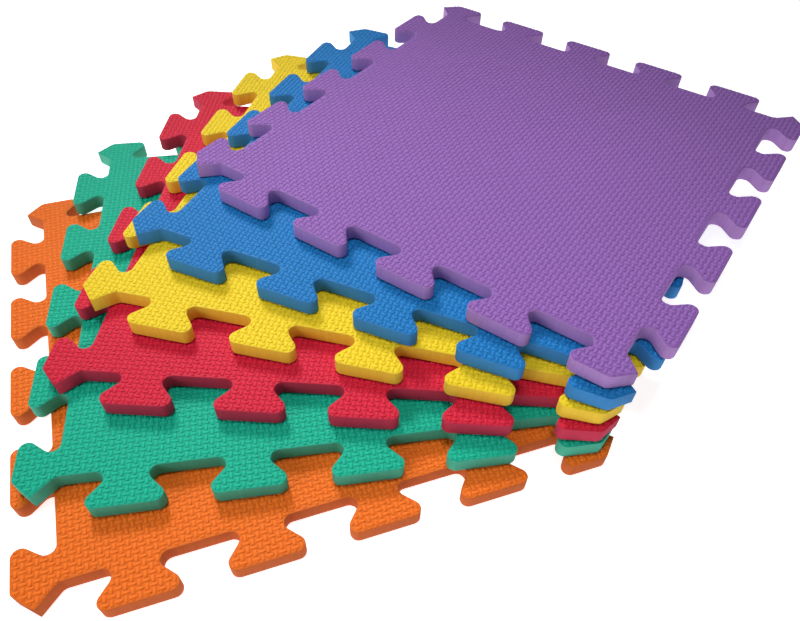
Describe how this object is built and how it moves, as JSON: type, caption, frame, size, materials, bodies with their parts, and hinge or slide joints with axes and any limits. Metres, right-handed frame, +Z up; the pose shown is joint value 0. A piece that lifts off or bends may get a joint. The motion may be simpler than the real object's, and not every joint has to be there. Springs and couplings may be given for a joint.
{
  "type": "interlocking foam floor tile stack",
  "caption": "Square foam floor tiles with dovetailed puzzle edges, in different colours, stacked flat and fanned out about one shared corner; each lifts off to be joined edge to edge.",
  "frame": {"origin": "centre of the bottom (orange) tile's underside, on the floor", "axes": "+Z up; +X and +Y along the bottom tile's sides, with the fan's shared corner at +X -Y"},
  "size_m": [0.5513, 0.4343, 0.061],
  "materials": {
    "foam_orange": "matte closed-cell foam, raised weave on the faces, smooth cut edges",
    "foam_green": "matte closed-cell foam, raised weave on the faces, smooth cut edges",
    "foam_red": "matte closed-cell foam, raised weave on the faces, smooth cut edges",
    "foam_yellow": "matte closed-cell foam, raised weave on the faces, smooth cut edges",
    "foam_blue": "matte closed-cell foam, raised weave on the faces, smooth cut edges",
    "foam_purple": "matte closed-cell foam, raised weave on the faces, smooth cut edges"
  },
  "bodies": {
    "orange_tile": {"tile_orange": "foam_orange"},
    "green_tile": {"tile_green": "foam_green"},
    "red_tile": {"tile_red": "foam_red"},
    "yellow_tile": {"tile_yellow": "foam_yellow"},
    "blue_tile": {"tile_blue": "foam_blue"},
    "purple_tile": {"tile_purple": "foam_purple"}
  },
  "joints": [
    {"name": "lift_green", "type": "slide", "parent": "orange_tile", "child": "green_tile", "axis": [0, 0, 1], "range_m": [0, 0.06]},
    {"name": "lift_red", "type": "slide", "parent": "green_tile", "child": "red_tile", "axis": [0, 0, 1], "range_m": [0, 0.06]},
    {"name": "lift_yellow", "type": "slide", "parent": "red_tile", "child": "yellow_tile", "axis": [0, 0, 1], "range_m": [0, 0.06]},
    {"name": "lift_blue", "type": "slide", "parent": "yellow_tile", "child": "blue_tile", "axis": [0, 0, 1], "range_m": [0, 0.06]},
    {"name": "lift_purple", "type": "slide", "parent": "blue_tile", "child": "purple_tile", "axis": [0, 0, 1], "range_m": [0, 0.06]}
  ]
}
